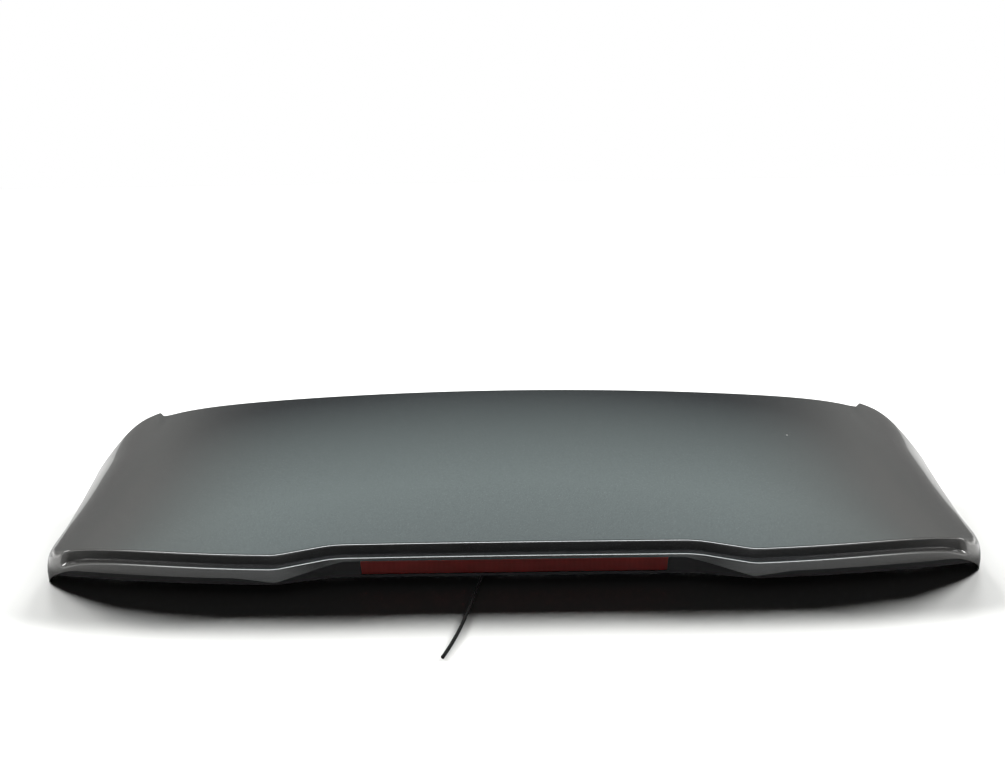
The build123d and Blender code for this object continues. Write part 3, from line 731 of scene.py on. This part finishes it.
def studio_world():
    """White for the camera, bands of light for reflections, nearly dark for scattered light."""
    world = bpy.data.worlds.new("studio")
    world.cycles.sampling_method = "NONE"
    studio = Finish(world, "Generated")
    across, along, up = (studio.axis(name) for name in "XYZ")
    turn = studio.node("ShaderNodeMath", {"operation": "ARCTAN2"}, {0: up, 1: along}) / pi
    aside = studio.unsigned(across)
    ceiling = studio.ramp(turn, [
        (0.0, (0.1, 0.1, 0.11, 1)),
        (0.225, (0.1, 0.1, 0.11, 1)),
        (0.33, (1.6, 1.86, 1.82, 1)),
        (0.42, (1.3, 1.46, 1.45, 1)),
        (0.48, (0.45, 0.48, 0.48, 1)),
        (0.6, (0.45, 0.48, 0.48, 1)),
        (0.72, (1.06, 1.13, 1.13, 1)),
        (0.86, (0.3, 0.3, 0.3, 1)),
        (1.0, (0.1, 0.1, 0.1, 1)),
    ])
    flank = studio.ramp(turn, [
        (0.0, (0.28, 0.28, 0.275, 1)),
        (0.1, (0.34, 0.34, 0.335, 1)),
        (0.2, (0.52, 0.53, 0.52, 1)),
        (0.28, (0.86, 0.86, 0.84, 1)),
        (1.0, (0.86, 0.86, 0.84, 1)),
    ])
    gleam = studio.mix(studio.span(aside, 0.3, 0.6), ceiling, flank)
    gleam = studio.mix(studio.span(aside, 0.8, 0.97), gleam, (0.9, 0.9, 0.88, 1))
    low_glow = studio.span(aside, 0.78, 0.92) * (1 - studio.span(up, 0.08, 0.22))
    gleam = studio.mix(low_glow, gleam, (2.8, 2.8, 2.75, 1))
    strip = studio.span(turn, 0.70, 0.74) * (1 - studio.span(turn, 0.84, 0.88))
    strip = strip * (1 - studio.span(aside, 0.5, 0.7))
    gleam = studio.mix(strip, gleam, (12, 12, 12, 1))
    scattered = studio.node("ShaderNodeLightPath", {}, {}, "Diffuse Depth") > 0.5
    seen = studio.node("ShaderNodeLightPath", {}, {}, "Is Camera Ray")
    colour = studio.mix(scattered, gleam, (0.01, 0.01, 0.01, 1))
    colour = studio.mix(seen, colour, (1, 1, 1, 1))
    lit = studio.node("ShaderNodeBackground", {}, {"Color": colour})
    studio.node("ShaderNodeOutputWorld", {}, {"Surface": lit})
    return world


def paint_over(piece, material):
    piece.data.materials.clear()
    piece.data.materials.append(material)


# Camera at the photograph's place, found from the spoiler's outline
camera = bpy.data.objects.new("camera", bpy.data.cameras.new("camera"))
camera.data.sensor_width = SENSOR_WIDTH
camera.data.lens = SENSOR_WIDTH * FOCAL_PIXELS / PICTURE_PIXELS
camera.data.clip_start = 0.01
camera.matrix_world = (
    Matrix.Translation(CAMERA_SPOT)
    @ Matrix.Rotation(CAMERA_PITCH, 4, "X")
    @ Matrix.Rotation(CAMERA_ROLL, 4, "Z")
)
scene.collection.objects.link(camera)
scene.camera = camera

# Lead, a limp cable that lies on the floor
lead_curve = bpy.data.curves.new("stop_lamp_lead", "CURVE")
lead_curve.dimensions = "3D"
lead_curve.bevel_depth = 1.0
lead_curve.bevel_resolution = 5
lead_curve.resolution_u = 12
lead_curve.use_fill_caps = True
lead_line = lead_curve.splines.new("NURBS")
lead_line.points.add(len(LEAD_ROUTE) - 1)
for point, spot in zip(lead_line.points, LEAD_ROUTE):
    point.co = (*spot, 1.0)
    point.radius = LEAD_RADIUS
lead_line.order_u = 3
lead_line.use_endpoint_u = True
lead = bpy.data.objects.new("stop_lamp_lead", lead_curve)
scene.collection.objects.link(lead)
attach(lead, "root")
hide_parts("lamp_lead")

shell = build_shell()
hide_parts("upper_shell")
paint_over(shell, paint_finish())

# Finishes of the other pieces, which keep their CAD shapes
black = plastic_finish(
    "black_grained_plastic", (0.006, 0.006, 0.0065, 1), (0.014, 0.014, 0.0145, 1), 1400.0, 0.5,
)
rubber = plastic_finish(
    "seal_rubber", (0.008, 0.008, 0.008, 1), (0.022, 0.022, 0.022, 1), 900.0, 0.7,
)
foam = plastic_finish(
    "closed_cell_foam", (0.018, 0.018, 0.02, 1), (0.05, 0.05, 0.052, 1), 700.0, 0.92,
)
sheath = plastic_finish(
    "lead_sheath", (0.005, 0.005, 0.005, 1), (0.012, 0.012, 0.012, 1), 500.0, 0.42,
)
zinc = metal_finish("zinc_plated_steel", (0.5, 0.5, 0.48, 1), (0.68, 0.67, 0.62, 1), 0.34)
bright = plain_finish("vapour_coated_reflector", (0.8, 0.8, 0.8, 1), 0.16, 1.0)
board = plain_finish("green_circuit_board", (0.03, 0.15, 0.06, 1), 0.45)
led = plain_finish("led_bodies", (0.75, 0.72, 0.6, 1), 0.35)
for name, material in {
    "lower_cover": black,
    "brake_lamp_lens": lens_finish(),
    "brake_lamp_housing": black,
    "brake_lamp_reflector": bright,
    "brake_lamp_board": board,
    "brake_lamp_leds": led,
    "brake_lamp_screws": zinc,
    "cover_screws": zinc,
    "inner_studs": zinc,
    "outer_studs": zinc,
    "stud_seals": foam,
    "foam_pads": foam,
    "leading_edge_seal": rubber,
    "lead_grommet": rubber,
}.items():
    paint_over(nodes[name], material)
paint_over(lead, sheath)

# Floor, just below the spoiler's lowest points
floor_mesh = bmesh.new()
bmesh.ops.create_grid(floor_mesh, x_segments=1, y_segments=1, size=FLOOR_HALF)
bmesh.ops.translate(floor_mesh, verts=floor_mesh.verts, vec=(0, 0, -FLOOR_DROP))
floor_data = bpy.data.meshes.new("floor")
floor_mesh.to_mesh(floor_data)
floor_mesh.free()
floor = bpy.data.objects.new("floor", floor_data)
scene.collection.objects.link(floor)
paint_over(floor, floor_finish())

# A wide bank of soft light from behind casts the shadow in front of the lip
for azimuth, elevation, energy in LIGHT_BANK:
    lamp = bpy.data.objects.new("light_bank", bpy.data.lights.new("light_bank", "SUN"))
    lamp.data.energy = energy
    lamp.data.angle = LIGHT_ANGLE
    heading = Matrix.Rotation(radians(azimuth), 4, "Z")
    lamp.matrix_world = heading @ Matrix.Rotation(radians(elevation - 90), 4, "X")
    lamp.visible_glossy = False
    scene.collection.objects.link(lamp)

scene.world = studio_world()
scene.view_settings.view_transform = "Standard"

bpy.context.view_layer.update()
